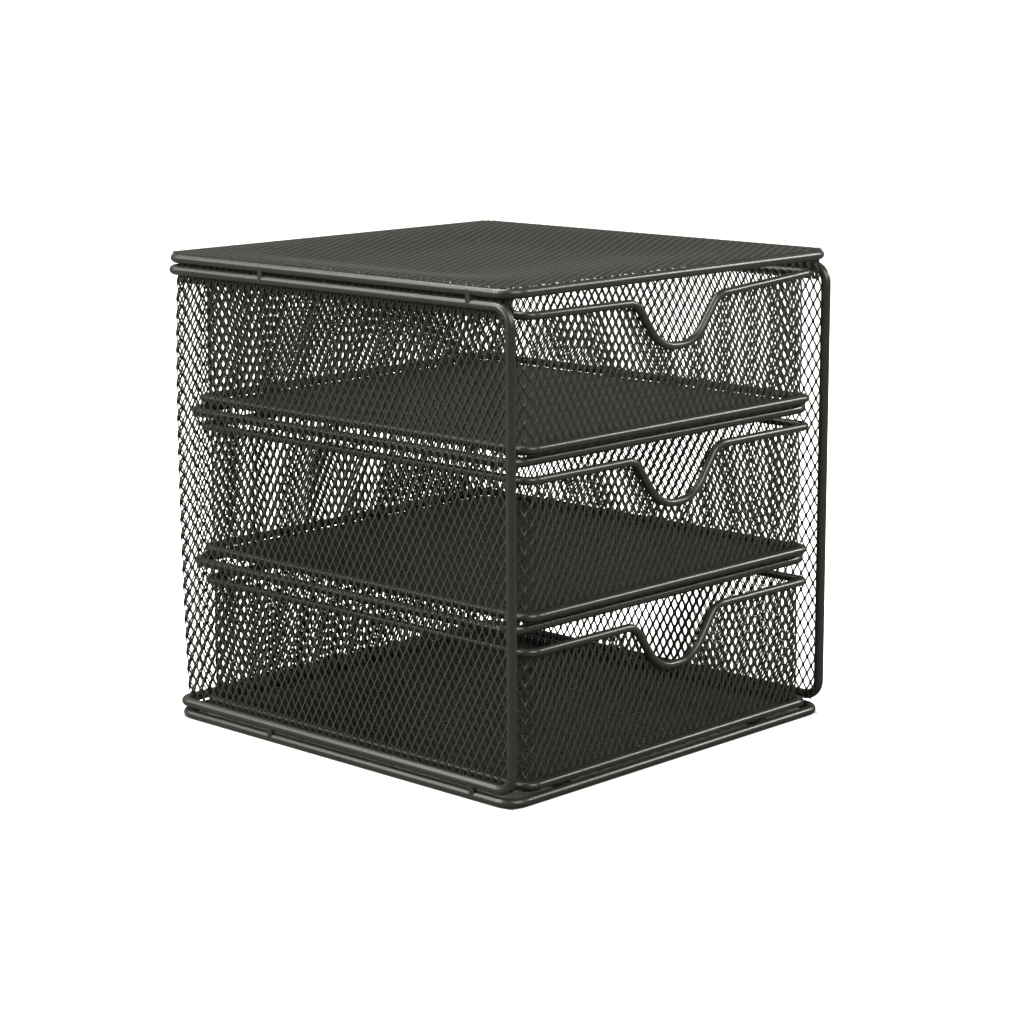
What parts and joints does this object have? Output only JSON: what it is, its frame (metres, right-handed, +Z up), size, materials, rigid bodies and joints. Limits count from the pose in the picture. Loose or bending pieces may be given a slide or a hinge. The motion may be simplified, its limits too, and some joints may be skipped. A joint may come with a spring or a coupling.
{
  "type": "drawer organizer insert",
  "caption": "Free-standing desktop cube of bent wire and expanded metal mesh with stacked pull-out mesh drawers, each with a finger dip in its front.",
  "frame": {"origin": "on the floor under the middle of the cube", "axes": "+Z up, the drawers face and slide towards -Y, +X is the cube's right side seen from its front"},
  "size_m": [0.224, 0.2312, 0.2308],
  "materials": {
    "wire_powder_coat": "satin dark charcoal powder coat on steel wire",
    "mesh_powder_coat": "satin dark charcoal powder coat on expanded steel mesh"
  },
  "bodies": {
    "cabinet": {"base_frame_wire": "wire_powder_coat", "base_left_runner": "wire_powder_coat", "base_right_runner": "wire_powder_coat", "wall_edge_wire": "wire_powder_coat", "wall_mesh": "mesh_powder_coat", "top_frame_wire": "wire_powder_coat", "top_mesh_panel": "mesh_powder_coat", "upper_shelf_wire": "wire_powder_coat", "upper_shelf_left_runner": "wire_powder_coat", "upper_shelf_right_runner": "wire_powder_coat", "lower_shelf_wire": "wire_powder_coat", "lower_shelf_left_runner": "wire_powder_coat", "lower_shelf_right_runner": "wire_powder_coat", "top_left_rear_lug": "wire_powder_coat", "top_left_front_lug": "wire_powder_coat", "top_right_rear_lug": "wire_powder_coat", "top_right_front_lug": "wire_powder_coat", "base_left_rear_lug": "wire_powder_coat", "base_left_front_lug": "wire_powder_coat", "base_right_rear_lug": "wire_powder_coat", "base_right_front_lug": "wire_powder_coat"},
    "upper_drawer": {"upper_drawer_rim_wire": "wire_powder_coat", "upper_drawer_base_wire": "wire_powder_coat", "upper_drawer_wall_mesh": "mesh_powder_coat", "upper_drawer_floor_mesh": "mesh_powder_coat"},
    "middle_drawer": {"middle_drawer_rim_wire": "wire_powder_coat", "middle_drawer_base_wire": "wire_powder_coat", "middle_drawer_wall_mesh": "mesh_powder_coat", "middle_drawer_floor_mesh": "mesh_powder_coat"},
    "lower_drawer": {"lower_drawer_rim_wire": "wire_powder_coat", "lower_drawer_base_wire": "wire_powder_coat", "lower_drawer_wall_mesh": "mesh_powder_coat", "lower_drawer_floor_mesh": "mesh_powder_coat"}
  },
  "joints": [
    {"name": "upper_drawer_slide", "type": "slide", "parent": "cabinet", "child": "upper_drawer", "axis": [0, -1, 0], "range_m": [0, 0.18]},
    {"name": "middle_drawer_slide", "type": "slide", "parent": "cabinet", "child": "middle_drawer", "axis": [0, -1, 0], "range_m": [0, 0.18]},
    {"name": "lower_drawer_slide", "type": "slide", "parent": "cabinet", "child": "lower_drawer", "axis": [0, -1, 0], "range_m": [0, 0.18]}
  ]
}
